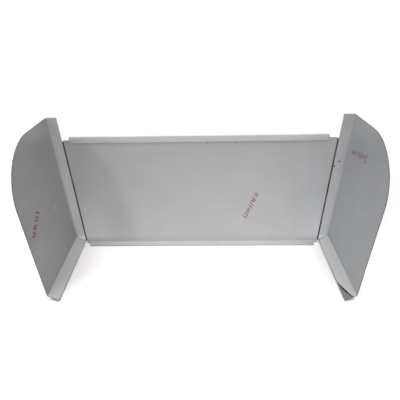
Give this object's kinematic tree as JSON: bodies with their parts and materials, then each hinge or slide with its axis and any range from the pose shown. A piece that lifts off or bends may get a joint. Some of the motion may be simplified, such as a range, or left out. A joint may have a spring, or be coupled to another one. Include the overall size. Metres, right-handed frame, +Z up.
{
  "type": "microphone isolation shield",
  "caption": "Folding microphone shield of thin sheet steel: wide centre panel with a hemmed top and a foot lip, and taller round-cornered wings on slim piano hinges at its ends.",
  "frame": {"origin": "centre of the base of the bounding box, on the surface that the foot lip stands on", "axes": "+Z up, +X along the centre panel from the left wing to the right wing, +Y from the open side to the back of the centre panel"},
  "size_m": [0.596, 0.1894, 0.3028],
  "materials": {
    "sheet_steel": "bare cold-rolled sheet, 1 mm, dull satin",
    "protective_film": "pale blue-grey protective film over the steel, semi-gloss",
    "hinge_steel": "blackened steel, satin",
    "rivet_aluminium": "plain rivet alloy, satin"
  },
  "bodies": {
    "centre": {"centre_panel": "sheet_steel", "centre_film": "protective_film", "left_hinge_fixed_leaf": "hinge_steel", "left_hinge_pin": "hinge_steel", "right_hinge_fixed_leaf": "hinge_steel", "right_hinge_pin": "hinge_steel", "left_fixed_rivet_1": "rivet_aluminium", "left_fixed_rivet_2": "rivet_aluminium", "left_fixed_rivet_3": "rivet_aluminium", "left_fixed_rivet_4": "rivet_aluminium", "left_fixed_rivet_5": "rivet_aluminium", "right_fixed_rivet_1": "rivet_aluminium", "right_fixed_rivet_2": "rivet_aluminium", "right_fixed_rivet_3": "rivet_aluminium", "right_fixed_rivet_4": "rivet_aluminium", "right_fixed_rivet_5": "rivet_aluminium"},
    "left_side": {"left_wing": "sheet_steel", "left_wing_film": "protective_film", "left_hinge_moving_leaf": "hinge_steel", "left_moving_rivet_1": "rivet_aluminium", "left_moving_rivet_2": "rivet_aluminium", "left_moving_rivet_3": "rivet_aluminium", "left_moving_rivet_4": "rivet_aluminium", "left_moving_rivet_5": "rivet_aluminium"},
    "right_side": {"right_wing": "sheet_steel", "right_wing_film": "protective_film", "right_hinge_moving_leaf": "hinge_steel", "right_moving_rivet_1": "rivet_aluminium", "right_moving_rivet_2": "rivet_aluminium", "right_moving_rivet_3": "rivet_aluminium", "right_moving_rivet_4": "rivet_aluminium", "right_moving_rivet_5": "rivet_aluminium"}
  },
  "joints": [
    {"name": "left_wing_hinge", "type": "hinge", "parent": "centre", "child": "left_side", "pos_m": [-0.2755, 0.0927, 0.129], "axis": [0, 0, -1], "range_deg": [-87.4, 112]},
    {"name": "right_wing_hinge", "type": "hinge", "parent": "centre", "child": "right_side", "pos_m": [0.2755, 0.0927, 0.129], "axis": [0, 0, 1], "range_deg": [-88.1, 111.5]}
  ]
}
